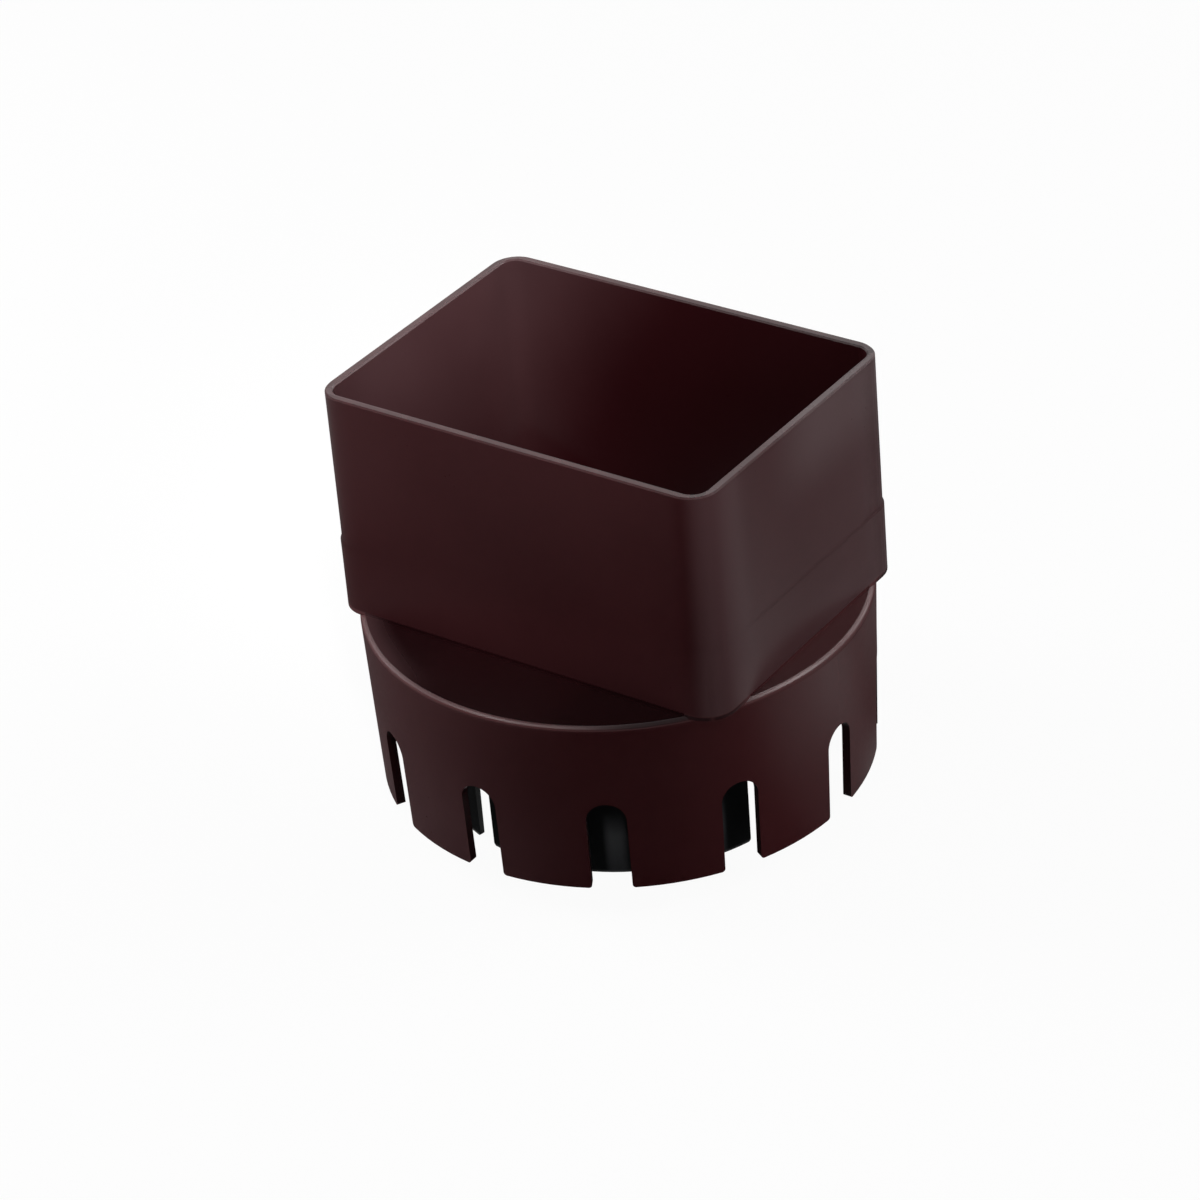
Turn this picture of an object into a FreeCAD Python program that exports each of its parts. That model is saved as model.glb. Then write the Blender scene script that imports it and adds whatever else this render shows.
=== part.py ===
import FreeCAD, Part
import math
import os
from FreeCAD import Vector

# Downspout adapter, moulded in one piece. A rectangular socket takes the foot of a downspout. Under it
# a round shoulder carries two slotted rings, one inside the other: the outer one, the skirt, goes into
# a large drain pipe, and the inner one goes into a small drain pipe.
# Origin: the middle of the foot that it stands on. +Z is up, and +X runs along the socket's long side.
# Lengths are in millimetres and angles in degrees.

# Downspout, outside, and the socket that it slips into
downspout_length = 82.6
downspout_width = 58.8
downspout_corner = 2.5
downspout_slip = 0.65         # gap all round the downspout at the socket's mouth
socket_height = 47.3          # shoulder to rim
socket_draft = 0.37           # slope of the socket's walls
corner_extra = 0.6            # the socket's outside corners are this much rounder than an even wall makes them
rim_bevel = 0.3               # bevel at 45 degrees on both edges of the rim
wall = 1.8                    # thickness of the socket's and the skirt's walls

# Band round the foot of the socket, slightly proud of the wall above it
band_height = 15.0
band_step = 0.3
band_ramp = 0.5               # height over which the wall swells out to the band

# Drain pipes, inside, and the gap that each ring leaves at its root
large_pipe_bore = 101.6
large_pipe_slip = 0.5
small_pipe_bore = 76.2
small_pipe_slip = 0.2

# Shoulder plate
plate = 2.0
shoulder_round = 1.1          # round on the shoulder's outer edge
round_flats = 4               # the round is turned as this many narrow flats
corner_sink = 0.3             # the socket's overhanging corners end this far below the shoulder's top

# Rings
skirt_height = 37.2           # foot of the skirt to the shoulder's top
skirt_draft = 1.7             # the skirt leans in towards its foot
ring_drop = 4.8               # the inner ring reaches this far below the skirt
ring_draft = 0.5
ring_wall = 1.0               # thickness of the inner ring at its foot

# Slots that part the rings into tabs
slot_count = 12
skirt_slot_width = 7.7
skirt_slot_height = 19.7      # foot of the skirt to the crown of the slot
ring_slot_width = 4.2
ring_slot_height = 24.5       # foot of the ring to the crown of the slot
tab_round = 0.7               # round on the lower corners of a tab

# Way for the water
stop_ledge = 2.0              # ledge beside the opening, on which the downspout stops

# Levels
ring_foot = 0.0
skirt_foot = ring_foot + ring_drop
shoulder_top = skirt_foot + skirt_height
plate_bottom = shoulder_top - plate
rim = shoulder_top + socket_height
socket_bottom = shoulder_top - corner_sink
band_top = shoulder_top + band_height
corner_floor = socket_bottom + wall

# Radii of the rings at their root, where they meet the shoulder, and at their foot
skirt_root_radius = large_pipe_bore / 2 - large_pipe_slip
skirt_foot_radius = skirt_root_radius - skirt_height * math.tan(math.radians(skirt_draft))
ring_lean = (plate_bottom - ring_foot) * math.tan(math.radians(ring_draft))
ring_root_radius = small_pipe_bore / 2 - small_pipe_slip
ring_foot_radius = ring_root_radius - ring_lean
bore_foot_radius = ring_foot_radius - ring_wall
bore_root_radius = bore_foot_radius - ring_lean
middle_of_gap = (ring_root_radius + skirt_root_radius - wall) / 2

# Half sizes of the downspout, with the slip gap
mouth_half_length = downspout_length / 2 + downspout_slip
mouth_half_width = downspout_width / 2 + downspout_slip
mouth_corner = downspout_corner + downspout_slip

overshoot = 1.0               # how far a cutting shape runs past the surface that it cuts


def rounded_rectangle(half_length, half_width, corner, z):
    quarters = []
    for side_x, side_y, start in ((1, 1, 0), (-1, 1, 90), (-1, -1, 180), (1, -1, 270)):
        centre = Vector(side_x * (half_length - corner), side_y * (half_width - corner), z)
        circle = Part.Circle(centre, Vector(0, 0, 1), corner)
        quarters.append(Part.Arc(circle, math.radians(start), math.radians(start + 90)))
    edges = []
    for index, quarter in enumerate(quarters):
        following = quarters[(index + 1) % len(quarters)]
        edges.append(quarter.toShape())
        edges.append(Part.LineSegment(quarter.EndPoint, following.StartPoint).toShape())
    return Part.Wire(edges)


# The outline of the socket's mouth, grown outwards by a given amount, at a height
def mouth_outline(growth, z, extra=0.0):
    corner = mouth_corner + growth + extra
    return rounded_rectangle(mouth_half_length + growth, mouth_half_width + growth, corner, z)


# The socket's outside: bevelled at the rim, it widens slightly downwards and swells out to the band
def socket_block():
    slope = math.tan(math.radians(socket_draft))
    ramp_foot = band_top - band_ramp
    levels = (
        (rim, -rim_bevel),
        (rim - rim_bevel, 0.0),
        (band_top, 0.0),
        (ramp_foot, band_step),
        (socket_bottom, band_step),
    )
    outlines = [mouth_outline(wall + slope * (rim - z) + step, z, corner_extra) for z, step in levels]
    return Part.makeLoft(outlines, True, True)


# The space inside the socket, which narrows slightly towards a floor at the given height
def socket_space(floor):
    slope = math.tan(math.radians(socket_draft))
    levels = (
        (floor, 0.0),
        (rim - rim_bevel, 0.0),
        (rim + overshoot, rim_bevel + overshoot),
    )
    outlines = [mouth_outline(-slope * (rim - z) + flare, z) for z, flare in levels]
    return Part.makeLoft(outlines, True, True)


# The floor lies level with the shoulder, but the corners overhang the shoulder and have a higher floor
def socket_hollow():
    within_shoulder = Part.makeCylinder(skirt_root_radius - wall, corner_floor - shoulder_top,
                                        Vector(0, 0, shoulder_top))
    lower_part = socket_space(shoulder_top).common(within_shoulder)
    return socket_space(corner_floor).fuse(lower_part)


# Points along the round on the shoulder's edge, from the top of the plate to the outside of the skirt
def shoulder_edge():
    turn = 90 + skirt_draft
    middle_radius = skirt_root_radius - shoulder_round * math.tan(math.radians(turn / 2))
    middle_z = shoulder_top - shoulder_round
    points = []
    for step in range(round_flats + 1):
        angle = math.radians(turn * step / round_flats)
        points.append((middle_radius + shoulder_round * math.sin(angle), middle_z + shoulder_round * math.cos(angle)))
    return points


# Plate, skirt and inner ring, turned from one half section
def shoulder_and_rings():
    section = [(0, shoulder_top)] + shoulder_edge() + [
        (skirt_foot_radius, skirt_foot),
        (skirt_foot_radius - wall, skirt_foot),
        (skirt_root_radius - wall, plate_bottom),
        (ring_root_radius, plate_bottom),
        (ring_foot_radius, ring_foot),
        (bore_foot_radius, ring_foot),
        (bore_root_radius, plate_bottom),
        (0, plate_bottom),
    ]
    corners = [Vector(radius, 0, z) for radius, z in section]
    outline = Part.makePolygon(corners + corners[:1])
    return Part.Face(outline).revolve(Vector(0, 0, 0), Vector(0, 0, 1), 360)


# The opening in the floor is the bore of the inner ring, narrowed to leave the stop ledge
def water_way():
    slope = math.tan(math.radians(socket_draft))
    inset = -slope * socket_height - stop_ledge
    throat = Part.makeCylinder(bore_root_radius, plate + 2 * overshoot, Vector(0, 0, plate_bottom - overshoot))
    inside_ledge = Part.Face(mouth_outline(inset, plate_bottom - overshoot))
    return throat.common(inside_ledge.extrude(Vector(0, 0, plate + 2 * overshoot)))


# One slot, cut along +X between two radii: open and flared at the foot, with a round crown
def slot(width, height, foot, inner_radius, outer_radius):
    half = width / 2
    flare = half + tab_round
    spring = foot + height - half
    turn = tab_round * (1 - math.sqrt(0.5))

    def point(y, z):
        return Vector(inner_radius, y, z)

    outline = Part.Wire([
        Part.LineSegment(point(-flare, foot - overshoot), point(-flare, foot)).toShape(),
        Part.Arc(point(-flare, foot), point(-half - turn, foot + turn), point(-half, foot + tab_round)).toShape(),
        Part.LineSegment(point(-half, foot + tab_round), point(-half, spring)).toShape(),
        Part.Arc(point(-half, spring), point(0, foot + height), point(half, spring)).toShape(),
        Part.LineSegment(point(half, spring), point(half, foot + tab_round)).toShape(),
        Part.Arc(point(half, foot + tab_round), point(half + turn, foot + turn), point(flare, foot)).toShape(),
        Part.LineSegment(point(flare, foot), point(flare, foot - overshoot)).toShape(),
        Part.LineSegment(point(flare, foot - overshoot), point(-flare, foot - overshoot)).toShape(),
    ])
    return Part.Face(outline).extrude(Vector(outer_radius - inner_radius, 0, 0))


# The skirt's slots lie on the axes, and the inner ring's slots lie midway between them
def all_slots():
    pitch = 360 / slot_count
    skirt_slot = slot(skirt_slot_width, skirt_slot_height, skirt_foot, middle_of_gap,
                      skirt_root_radius + overshoot)
    ring_slot = slot(ring_slot_width, ring_slot_height, ring_foot, bore_root_radius - overshoot, middle_of_gap)
    slots = []
    for number in range(slot_count):
        slots.append(skirt_slot.rotated(Vector(0, 0, 0), Vector(0, 0, 1), number * pitch))
        slots.append(ring_slot.rotated(Vector(0, 0, 0), Vector(0, 0, 1), (number + 0.5) * pitch))
    return slots


def adapter():
    outside = shoulder_and_rings().fuse(socket_block())
    return outside.cut([socket_hollow(), water_way()] + all_slots())


os.makedirs("parts", exist_ok=True)
moulding = adapter()
moulding.exportStep("parts/adapter.step")
print("adapter: solids", len(moulding.Solids), "valid", moulding.isValid(), "volume", round(moulding.Volume))
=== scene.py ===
import math
import bpy
from mathutils import Matrix, Vector

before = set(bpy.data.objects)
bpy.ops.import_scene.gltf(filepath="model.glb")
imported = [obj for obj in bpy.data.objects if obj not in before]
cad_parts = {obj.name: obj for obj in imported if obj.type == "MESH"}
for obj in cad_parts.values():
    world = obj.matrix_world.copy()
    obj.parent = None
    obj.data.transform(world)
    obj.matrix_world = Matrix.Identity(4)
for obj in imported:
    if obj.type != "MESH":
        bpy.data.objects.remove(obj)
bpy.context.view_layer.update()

mm = 0.001
print("frame loaded:", ", ".join(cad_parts))


# Shader maths: a socket with operators, so that a mask can be written as an expression
class Value:
    def __init__(self, shader, socket):
        self.shader = shader
        self.socket = socket

    def math(self, operation, *others):
        node = self.shader.tree.nodes.new("ShaderNodeMath")
        node.operation = operation
        for index, item in enumerate((self,) + others):
            self.shader.feed(node.inputs[index], item)
        return Value(self.shader, node.outputs[0])

    def __add__(self, other):
        return self.math("ADD", other)

    def __radd__(self, other):
        return self.math("ADD", other)

    def __sub__(self, other):
        return self.math("SUBTRACT", other)

    def __rsub__(self, other):
        return self.math("MULTIPLY", -1.0).math("ADD", other)

    def __mul__(self, other):
        return self.math("MULTIPLY", other)

    def __rmul__(self, other):
        return self.math("MULTIPLY", other)

    def clamped(self):
        return self.math("MAXIMUM", 0.0).math("MINIMUM", 1.0)


class Shader:
    def __init__(self, name):
        self.material = bpy.data.materials.new(name)
        self.material.use_nodes = True
        self.tree = self.material.node_tree
        self.tree.nodes.clear()

    # Any node: its settings come first, then the values or links of its sockets
    def node(self, kind, settings=None, **sockets):
        made = self.tree.nodes.new(kind)
        for key, value in (settings or {}).items():
            if key == "stops":
                self.setStops(made.color_ramp, value)
            else:
                setattr(made, key, value)
        for key, value in sockets.items():
            self.feed(made.inputs[int(key[1:])] if key[0] == "_" else made.inputs[key.replace("_", " ")], value)
        return made

    def setStops(self, ramp, stops):
        while len(ramp.elements) < len(stops):
            ramp.elements.new(1.0)
        for element, (place, colour) in zip(ramp.elements, stops):
            element.position = place
            element.color = (*colour, 1.0)

    def feed(self, socket, item):
        if isinstance(item, Value):
            self.tree.links.new(item.socket, socket)
        elif isinstance(item, bpy.types.NodeSocket):
            self.tree.links.new(item, socket)
        elif socket.type == "RGBA" and len(item) == 3:
            socket.default_value = (*item, 1.0)
        else:
            socket.default_value = item

    def value(self, socket):
        return Value(self, socket)

    def mixColour(self, factor, first, second):
        made = self.node("ShaderNodeMix", {"data_type": "RGBA"}, _0=factor, _6=first, _7=second)
        return made.outputs[2]

    def noise(self, place, scale, detail=2.0, roughness=0.5):
        made = self.node("ShaderNodeTexNoise", {"noise_dimensions": "3D"},
                         Vector=place, Scale=scale, Detail=detail, Roughness=roughness)
        return self.value(made.outputs[0])

    def vector(self, x, y, z):
        return self.node("ShaderNodeCombineXYZ", X=x, Y=y, Z=z).outputs[0]

    def turned(self, item, source, target):
        settings = {"vector_type": "NORMAL", "convert_from": source, "convert_to": target}
        return self.node("ShaderNodeVectorTransform", settings, Vector=item).outputs[0]

    # 0 at low, 1 at high, with a smooth run between
    def ramp(self, item, low, high):
        made = self.node("ShaderNodeMapRange", {"interpolation_type": "SMOOTHSTEP"},
                         _0=item, _1=low, _2=high, _3=0.0, _4=1.0)
        return self.value(made.outputs[0])

    def finish(self, surface):
        self.node("ShaderNodeOutputMaterial", Surface=surface)
        return self.material


# The moulding: dark chocolate brown plastic, satin, nearly black on the inner ring, with painted shade, painted light
# and painted highlights in its colour
moulding = {
    "brown": (0.0235, 0.0034, 0.0044),
    # worn tone at the rim and in the clouding, and painted light on the skirt's sides
    "brownWornAndPaintedLight": (0.046, 0.0105, 0.0120),
    "innerRing": (0.0030, 0.0033, 0.0038),
    "innerRingPaintedHighlight": (0.054, 0.055, 0.059),        # painted highlight down the middle of each of its tabs, outside
    "tabs": 12,
    "shade": (0.0095, 0.0014, 0.0020),      # painted shade: the shoulder's left side beside the long wall, the shoulder against the socket's foot, deep inside the socket, the middle of the long face, and the skirt's faces that don't look outwards
    "paintedLight": (0.052, 0.0240, 0.0260),     # painted light: the left end of the socket's inside, its right face, the shoulder's front left end, the long face's left side and foot, and low on the skirt's left
    "edge": (0.080, 0.0230, 0.0250),        # painted highlight along the round of the shoulder, and on the shoulder beside the right face
    "pale": (0.090, 0.0600, 0.0620),        # painted light high on the right face
    "roughness": 0.31,
    "roughnessSpread": 0.10,
    "specular": 0.14,
    "grain": 900.0,             # fine moulding texture, in cycles a metre
    "flow": 38.0,               # broad clouding of the plastic
    "innerRingRadius": 39.2,    # mm, inside this and under the plate lies the inner ring
    "plateBottom": 39.9,        # mm
    "rim": 89.3,                # mm
    "shoulder": 42.0,           # mm
    "outside": (43.75, 31.85),  # half length and half width of the socket at its rim, mm
    "wall": 1.8,                # mm
    "outerSweep": ((9.0, 9.0), (16.0, 16.0)),   # how far a corner's soft turn reaches along each side, mm
    "innerSweep": ((36.0, 36.0), (7.0, 28.0)),
}


# Direction in which an upright wall of the socket faces, with the corners turning softly over the sweep,
# which is given for the low and for the high end of each axis
def softTurn(x, y, halfSizes, sweep):
    parts = []
    for item, half, (low, high) in zip((x, y), halfSizes, sweep):
        atHigh = ((item - (half - high) * mm) * (1000 / high)).math("MAXIMUM", 0.0)
        atLow = ((item * -1.0 - (half - low) * mm) * (1000 / low)).math("MAXIMUM", 0.0)
        parts.append(atHigh * atHigh - atLow * atLow)
    return parts


# The plastic's own normals, but with the socket's walls drawn smooth and their corners softened
def softNormals(s, look, geometry, ownZ, outwards, x, y, z):
    isOutside = s.ramp(outwards, -0.5, 0.5)
    outer = softTurn(x, y, look["outside"], look["outerSweep"])
    inner = softTurn(x, y, [half - look["wall"] for half in look["outside"]], look["innerSweep"])
    softX, softY = (isOutside * out + (1 - isOutside) * (into * -1.0) for out, into in zip(outer, inner))
    belowRim = 1 - s.ramp(z, (look["rim"] - 0.8) * mm, (look["rim"] - 0.5) * mm)
    upright = (1 - s.ramp(ownZ.math("ABSOLUTE") - belowRim * 0.6, 0.15, 0.45)) \
        * s.ramp(z, (look["shoulder"] + 0.1) * mm, (look["shoulder"] + 0.4) * mm)
    soft = s.node("ShaderNodeVectorMath", {"operation": "NORMALIZE"}, _0=s.vector(softX, softY, 0.001)).outputs[0]
    turned = s.turned(soft, "OBJECT", "WORLD")
    mixed = s.node("ShaderNodeMix", {"data_type": "VECTOR"}, _0=upright, _4=geometry.outputs["Normal"], _5=turned)
    return s.node("ShaderNodeVectorMath", {"operation": "NORMALIZE"}, _0=mixed.outputs[1]).outputs[0]


def mouldedPlastic(look):
    s = Shader("mouldedPlastic")
    place = s.node("ShaderNodeTexCoord").outputs["Object"]
    split = s.node("ShaderNodeSeparateXYZ", Vector=place)
    x, y, z = (s.value(split.outputs[i]) for i in range(3))
    radius = (x * x + y * y).math("SQRT")
    geometry = s.node("ShaderNodeNewGeometry")
    own = s.node("ShaderNodeSeparateXYZ", Vector=s.turned(geometry.outputs["Normal"], "WORLD", "OBJECT"))
    ownX, ownY, ownZ = (s.value(own.outputs[i]) for i in range(3))
    outwards = (x * ownX + y * ownY).math("SIGN")       # 1 on faces that look outwards, -1 inwards, 0 up or down

    innerRing = (1 - s.ramp(radius, (look["innerRingRadius"] - 0.1) * mm, look["innerRingRadius"] * mm)) \
        * (1 - s.ramp(z, (look["plateBottom"] - 0.2) * mm, look["plateBottom"] * mm))
    cloud = s.noise(place, look["flow"], 3.0, 0.55)
    speck = s.noise(place, look["grain"] * 0.6, 2.0, 0.6)
    grain = s.noise(place, look["grain"], 3.0, 0.65)
    rubbed = s.ramp(z, (look["rim"] - 0.5) * mm, look["rim"] * mm) * s.ramp(s.noise(place, 160.0, 3.0), 0.35, 0.75)

    across, along = x.math("ABSOLUTE"), y.math("ABSOLUTE")
    above = s.ramp(z, (look["shoulder"] + 0.3) * mm, (look["shoulder"] + 0.8) * mm)
    plateTop = s.ramp(z, (look["shoulder"] - 0.3) * mm, (look["shoulder"] - 0.1) * mm) * (1 - above)
    # Painted shade on the shoulder where it meets the socket's walls, mostly left off at its front left end
    frontLeft = (1 - s.ramp(x, -26 * mm, -8 * mm)) * (1 - s.ramp(y, -31 * mm, -20 * mm))
    besideLong = s.ramp(across, 12 * mm, 32 * mm) * s.ramp(along, 30 * mm, 31.5 * mm) * (1 - frontLeft * 0.8)
    besideShort = s.ramp(along, 17 * mm, 27 * mm) * s.ramp(across, 41 * mm, 43 * mm)
    atShoulder = s.ramp(z, (look["shoulder"] - 0.8) * mm, (look["shoulder"] - 0.4) * mm) * (1 - above)
    contact = besideLong.math("MAXIMUM", besideShort) * atShoulder
    # The shoulder's rounded edge, which takes a painted highlight
    rounded = s.ramp(radius, 49.1 * mm, 49.4 * mm)
    edge = atShoulder * rounded * (1 - contact)
    inside = (1 - s.ramp(across, 42.4 * mm, 42.6 * mm)) * (1 - s.ramp(along, 30.5 * mm, 30.7 * mm)) \
        * above * (1 - s.ramp(outwards, 0.2, 0.8))
    # Inside the socket: painted shade deeper down and towards the right, painted light towards the left end and the rim
    rightwards = s.ramp(x - z * 0.6, -106 * mm, -53 * mm)
    insidePaintedLight = inside * (1 - rightwards) * (1.0 + (cloud - 0.5) * 0.6)

    tone = (s.ramp(cloud, 0.25, 0.75) * 0.16 + s.ramp(speck, 0.30, 0.80) * 0.06 + rubbed * 0.75).clamped()
    brown = s.mixColour(tone, look["brown"], look["brownWornAndPaintedLight"])
    # Painted shade on the shoulder's left side and across the middle of the long face
    leftOfPlate = plateTop * (1 - s.ramp(x, 20 * mm, 44 * mm)) * (1 - edge)
    frontWall = above * (1 - s.ramp(y, -31.4 * mm, -31.0 * mm))
    longFace = frontWall * s.ramp(x, -45 * mm, -5 * mm) * (1 - 0.6 * s.ramp(x, 0.0, 35 * mm)) * s.ramp(z, 44 * mm, 60 * mm)
    skirtWall = s.ramp(radius, 47.0 * mm, 47.5 * mm) * (1 - s.ramp(z, (look["shoulder"] - 0.5) * mm, look["shoulder"] * mm))
    onSkirt = skirtWall * s.ramp(outwards, 0.2, 0.8)
    # All the painted shade, the slots' side walls included
    shade = leftOfPlate * 0.85 + contact * 0.9 + inside * rightwards * 0.6 + longFace * 0.35 + (skirtWall - onSkirt) * 0.9
    shaded = s.mixColour(shade.clamped(), brown, look["shade"])
    # Painted light on the right face, lighter towards its back and low down, on the shoulder's front left end, and on
    # the long face's left side and foot
    rightFace = s.ramp(x, 38.5 * mm, 43.4 * mm) * (1 - inside) * above
    lowOnRightFace = (1 - s.ramp(z, 43 * mm, 53 * mm)) * s.ramp(y, -29 * mm, -21 * mm) * (1 - s.ramp(y, 8 * mm, 24 * mm))
    frontLeftEdge = plateTop * frontLeft * s.ramp(radius, 44 * mm, 50 * mm)
    # Painted light high on the right face
    highOnRightFace = rightFace * s.ramp(z, 70 * mm, 84 * mm) * s.ramp(y, -12 * mm, 8 * mm)
    # Painted highlight on the shoulder beside the right face
    rightOfPlate = plateTop * s.ramp(x, 43 * mm, 44 * mm) * s.ramp(y, -30 * mm, 0.0) * (1 - contact)
    lowOnLongFace = frontWall * (1 - s.ramp(z, 44 * mm, 60 * mm))
    leftOnLongFace = frontWall * (1 - s.ramp(x, -45 * mm, -15 * mm)) * s.ramp(z, 50 * mm, 80 * mm)
    # Painted light on the skirt's sides
    sidesOfSkirt = onSkirt * (s.ramp(x + y * 0.35, 15 * mm, 46 * mm) * 0.7 + (1 - s.ramp(x, -30 * mm, 15 * mm)) * 0.55)
    withPaintedLight = s.mixColour((insidePaintedLight + rightFace * (1.0 - 0.67 * s.ramp(y, -31 * mm, -16 * mm) + 0.60 * s.ramp(y, -8 * mm, 28 * mm)
                                                 + 0.38 * lowOnRightFace)
                         + frontLeftEdge * 0.9 + lowOnLongFace * 0.14 + leftOnLongFace * 0.13).clamped(), shaded, look["paintedLight"])
    # Painted light low on the skirt's left
    lowOnLeft = onSkirt * (1 - s.ramp(x, -14 * mm, 28 * mm)) * (1 - s.ramp(y, -25 * mm, 5 * mm)) \
        * (1 - 0.6 * s.ramp(z, 5 * mm, 38 * mm))
    pale = s.mixColour(highOnRightFace * 0.5, withPaintedLight, look["pale"])
    skirt = s.mixColour(lowOnLeft * 0.8, s.mixColour(sidesOfSkirt, pale, look["brownWornAndPaintedLight"]), look["paintedLight"])
    withEdgeHighlight = s.mixColour(edge * 0.7 + rightOfPlate * 0.5, skirt, look["edge"])
    # Painted highlight down the middle of each of the inner ring's tabs
    tabHighlight = s.ramp((y.math("ARCTAN2", x) * look["tabs"]).math("COSINE"), 0.65, 1.0) \
        * s.ramp(radius, 37.0 * mm, 37.3 * mm) * (1 - s.ramp(z, 8 * mm, 15 * mm)) * (0.5 + 0.5 * s.ramp(z, 0.0, 8 * mm))
    ring = s.mixColour(tabHighlight, look["innerRing"], look["innerRingPaintedHighlight"])
    colour = s.mixColour(innerRing, withEdgeHighlight, ring)
    roughness = look["roughness"] + (cloud - 0.5) * look["roughnessSpread"] + (grain - 0.5) * 0.10 - rubbed * 0.06 \
        + innerRing * 0.25 - plateTop * (1 - rounded) * 0.08 + contact * rounded * 0.55

    bump = s.node("ShaderNodeBump", Strength=0.10, Distance=0.05 * mm, Height=grain + cloud * 2.0,
                  Normal=softNormals(s, look, geometry, ownZ, outwards, x, y, z))
    plastic = s.node("ShaderNodeBsdfPrincipled", Base_Color=colour, Roughness=roughness, Normal=bump.outputs[0],
                     Specular_IOR_Level=look["specular"])
    return s.finish(plastic.outputs[0])


plastic = mouldedPlastic(moulding)
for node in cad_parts.values():
    for holder in node.material_slots:
        holder.material = plastic
print("moulding finished")


# Floor, pale, and white to the camera apart from the object's shadow
floor = {"half": 3.0, "pale": (0.80, 0.80, 0.80), "whiteShare": 0.95}


def paleFloor(look):
    s = Shader("paleFloor")
    path = s.node("ShaderNodeLightPath")
    seen = s.value(path.outputs["Is Camera Ray"]) + s.value(path.outputs["Is Glossy Ray"]) \
        + s.value(path.outputs["Is Transmission Ray"])
    pale = s.node("ShaderNodeBsdfDiffuse", Color=look["pale"])
    white = s.node("ShaderNodeEmission", Color=(1.0, 1.0, 1.0), Strength=1.0)
    mixed = s.node("ShaderNodeMixShader", Fac=seen.clamped() * look["whiteShare"])
    s.feed(mixed.inputs[1], pale.outputs[0])
    s.feed(mixed.inputs[2], white.outputs[0])
    return s.finish(mixed.outputs[0])


def makeFloor(look):
    half = look["half"]
    mesh = bpy.data.meshes.new("floor")
    mesh.from_pydata([(-half, -half, 0), (half, -half, 0), (half, half, 0), (-half, half, 0)], [], [(0, 1, 2, 3)])
    made = bpy.data.objects.new("floor", mesh)
    made.location.z = -0.1 * mm
    bpy.context.scene.collection.objects.link(made)
    mesh.materials.append(paleFloor(look))
    return made


makeFloor(floor)


# World: plain soft light, and white to the camera
def makeWorld(strength):
    world = bpy.data.worlds.new("studio")
    world.use_nodes = True
    tree = world.node_tree
    tree.nodes.clear()
    path = tree.nodes.new("ShaderNodeLightPath")
    soft = tree.nodes.new("ShaderNodeBackground")
    soft.inputs["Strength"].default_value = strength
    white = tree.nodes.new("ShaderNodeBackground")
    white.inputs["Color"].default_value = (1.0, 1.0, 1.0, 1.0)
    white.inputs["Strength"].default_value = 1.0
    seen = tree.nodes.new("ShaderNodeMath")
    seen.operation = "ADD"
    both = tree.nodes.new("ShaderNodeMath")
    both.operation = "ADD"
    both.use_clamp = True
    mixed = tree.nodes.new("ShaderNodeMixShader")
    out = tree.nodes.new("ShaderNodeOutputWorld")
    tree.links.new(path.outputs["Is Camera Ray"], seen.inputs[0])
    tree.links.new(path.outputs["Is Glossy Ray"], seen.inputs[1])
    tree.links.new(seen.outputs[0], both.inputs[0])
    tree.links.new(path.outputs["Is Transmission Ray"], both.inputs[1])
    tree.links.new(both.outputs[0], mixed.inputs[0])
    tree.links.new(soft.outputs[0], mixed.inputs[1])
    tree.links.new(white.outputs[0], mixed.inputs[2])
    tree.links.new(mixed.outputs[0], out.inputs["Surface"])
    bpy.context.scene.world = world


makeWorld(0.27)

# Card laid round the object, which only reflections see: dark in front, so that the front of the plastic
# stays deep, and light at the sides, at these azimuths in degrees
reflectionCard = {
    "near": 0.037, "far": 1.6, "height": 0.5, "steps": 48, "strength": 1.2,
    "beside": (0.060, 0.095),           # between these radii the card comes out of the object's shade
    "outwards": (0.11, 0.19, 0.24),     # from this radius to that one, in metres, the card grows lighter by so much
    "stops": ((-180, 0.07), (-150, 0.11), (-120, 0.12), (-95, 0.04), (-12, 0.03), (0, 0.60), (24, 0.78),
              (42, 0.20), (80, 0.08), (98, 0.04), (135, 0.02), (160, 0.04), (180, 0.07)),
}


def makeReflectionCard(look):
    s = Shader("reflectionCard")
    place = s.node("ShaderNodeTexCoord").outputs["Object"]
    split = s.node("ShaderNodeSeparateXYZ", Vector=place)
    x, y = s.value(split.outputs[0]), s.value(split.outputs[1])
    turn = y.math("ARCTAN2", x) * (0.5 / math.pi) + 0.5
    stops = [((azimuth + 180) / 360, (level, level, level)) for azimuth, level in look["stops"]]
    level = s.value(s.node("ShaderNodeValToRGB", {"stops": stops}, Fac=turn).outputs[0])
    radius = s.value(s.node("ShaderNodeVectorMath", {"operation": "LENGTH"}, _0=place).outputs[1])
    low, high, more = look["outwards"]
    shaded = 1 - (1 - s.ramp(radius, *look["beside"])) * (0.35 + s.ramp(x, 0.0, 0.03) * 0.4)
    grey = (level * shaded + s.ramp(radius, low, high) * (1 - s.ramp(x, -0.05, 0.05)) * more) * look["strength"]
    shine = s.node("ShaderNodeEmission", Color=s.vector(grey, grey, grey))
    points = []
    for radius in (look["near"], look["far"]):
        for step in range(look["steps"]):
            angle = 2 * math.pi * step / look["steps"]
            points.append((radius * math.cos(angle), radius * math.sin(angle), look["height"] * mm))
    row = look["steps"]
    faces = [(step, (step + 1) % row, row + (step + 1) % row, row + step) for step in range(row)]
    mesh = bpy.data.meshes.new("reflectionCard")
    mesh.from_pydata(points, [], faces)
    mesh.materials.append(s.finish(shine.outputs[0]))
    made = bpy.data.objects.new("reflectionCard", mesh)
    bpy.context.scene.collection.objects.link(made)
    made.visible_camera = made.visible_diffuse = made.visible_shadow = made.visible_transmission = False


makeReflectionCard(reflectionCard)

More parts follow.
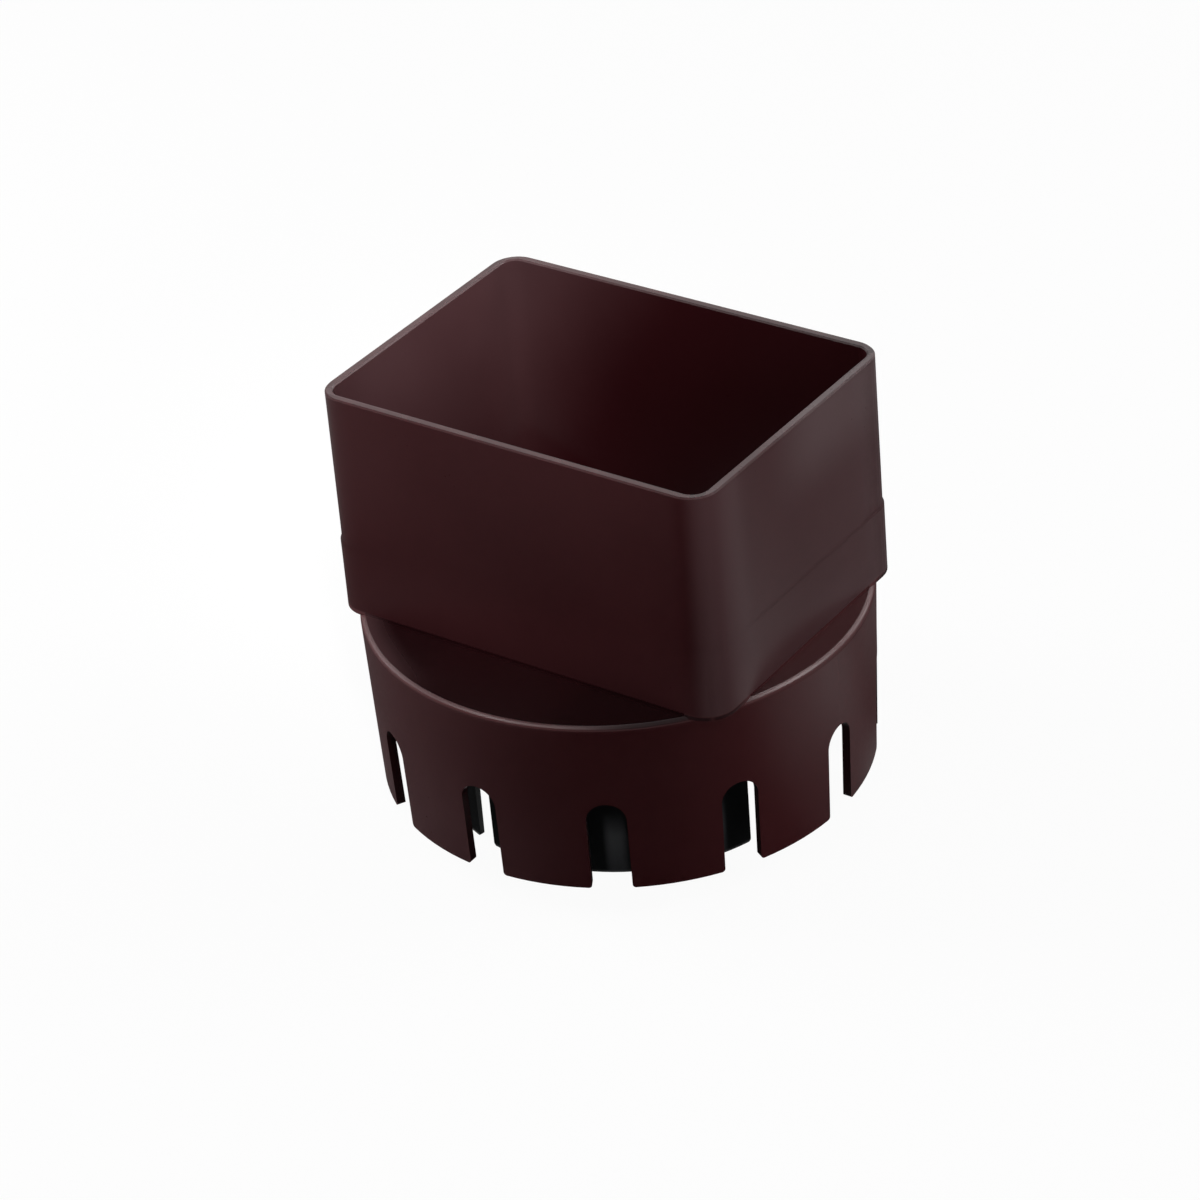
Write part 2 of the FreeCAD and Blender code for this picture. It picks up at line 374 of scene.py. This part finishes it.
# Soft boxes: where each stands (azimuth and elevation as seen from the object), how far, how big, how bright.
# Those marked as gloss only draw the bright lines along the rounded edges
softBoxes = {
    "leftBox": {"azimuth": -165, "elevation": 22, "distance": 0.6, "size": (0.3, 0.5), "watts": 3.3},
    "rightBox": {"azimuth": 42, "elevation": 28, "distance": 0.9, "size": (0.4, 0.6), "watts": 4.4},
    "frontBox": {"azimuth": -38, "elevation": 12, "distance": 0.9, "size": (0.5, 0.4), "watts": 1.4},
    "topBox": {"azimuth": -53, "elevation": 84, "distance": 1.0, "size": (0.3, 0.3), "watts": 7.0, "gloss": True},
    "leftTopBox": {"azimuth": 198, "elevation": 64, "distance": 1.0, "size": (0.3, 0.3), "watts": 13.0, "gloss": True},
    "leftBackBox": {"azimuth": 172, "elevation": 40, "distance": 1.0, "size": (0.3, 0.4), "watts": 8.5, "gloss": True},
    "rightTopBox": {"azimuth": 62, "elevation": 56, "distance": 1.0, "size": (0.3, 0.3), "watts": 18.0, "gloss": True},
    "rightBackBox": {"azimuth": 84, "elevation": 36, "distance": 1.0, "size": (0.3, 0.4), "watts": 8.0, "gloss": True},
    "backBox": {"azimuth": 127, "elevation": 34, "distance": 1.0, "size": (0.6, 0.4), "watts": 1.2, "gloss": True},
}


def placeAround(azimuth, elevation, distance, aim):
    a, e = math.radians(azimuth), math.radians(elevation)
    return aim + Vector((math.cos(a) * math.cos(e), math.sin(a) * math.cos(e), math.sin(e))) * distance


def makeLamp(name, lamp, look, aim):
    lamp.energy = look["watts"]
    made = bpy.data.objects.new(name, lamp)
    made.location = placeAround(look["azimuth"], look["elevation"], look["distance"], aim)
    made.rotation_mode = "QUATERNION"
    made.rotation_quaternion = (aim - made.location).to_track_quat("-Z", "Y")
    made.visible_diffuse = not look.get("gloss", False)
    made.visible_glossy = look.get("gloss", False)
    bpy.context.scene.collection.objects.link(made)


def makeSoftBox(name, look):
    lamp = bpy.data.lights.new(name, "AREA")
    lamp.shape = "RECTANGLE"
    lamp.size, lamp.size_y = look["size"]
    makeLamp(name, lamp, look, Vector((0, 0, 45 * mm)))


for name, look in softBoxes.items():
    makeSoftBox(name, look)

# Spotlight with a narrow, soft cone, aimed into the socket's mouth on the left
mouthLamp = {"azimuth": -48, "elevation": 45, "distance": 0.6, "aim": (-31, 6, 80), "cone": 13, "radius": 0.04,
             "watts": 27}


def makeMouthLamp(look):
    lamp = bpy.data.lights.new("mouthLamp", "SPOT")
    lamp.spot_size = math.radians(look["cone"])
    lamp.spot_blend = 1.0
    lamp.shadow_soft_size = look["radius"]
    makeLamp("mouthLamp", lamp, look, Vector(look["aim"]) * mm)


makeMouthLamp(mouthLamp)
print("studio lit:", len(softBoxes), "soft boxes and a spotlight")

# Camera at the photograph's viewing angle
camera = {
    "azimuth": 37.0403, "elevation": 32.2981, "roll": -5.051,   # degrees
    "aside": -6.4568, "above": 32.0249, "away": 815.907,        # mm, along the camera's own axes
    "lens": 122.515, "sensor": 36.0,
}


def makeCamera(look):
    azimuth, elevation, roll = (math.radians(look[key]) for key in ("azimuth", "elevation", "roll"))
    right = Vector((math.cos(azimuth), math.sin(azimuth), 0))
    back = Vector((math.sin(azimuth) * math.cos(elevation), -math.cos(azimuth) * math.cos(elevation), math.sin(elevation)))
    up = back.cross(right)
    rolledRight = right * math.cos(roll) + up * math.sin(roll)
    rolledUp = up * math.cos(roll) - right * math.sin(roll)
    lens = bpy.data.cameras.new("camera")
    lens.lens, lens.sensor_width, lens.sensor_fit = look["lens"], look["sensor"], "HORIZONTAL"
    lens.clip_start, lens.clip_end = 0.05, 20.0
    made = bpy.data.objects.new("camera", lens)
    turn = Matrix((rolledRight, rolledUp, back)).transposed().to_4x4()
    place = (rolledRight * look["aside"] + rolledUp * look["above"] + back * look["away"]) * mm
    made.matrix_world = Matrix.Translation(place) @ turn
    bpy.context.scene.collection.objects.link(made)
    bpy.context.scene.camera = made


makeCamera(camera)
bpy.context.scene.view_settings.view_transform = "Standard"
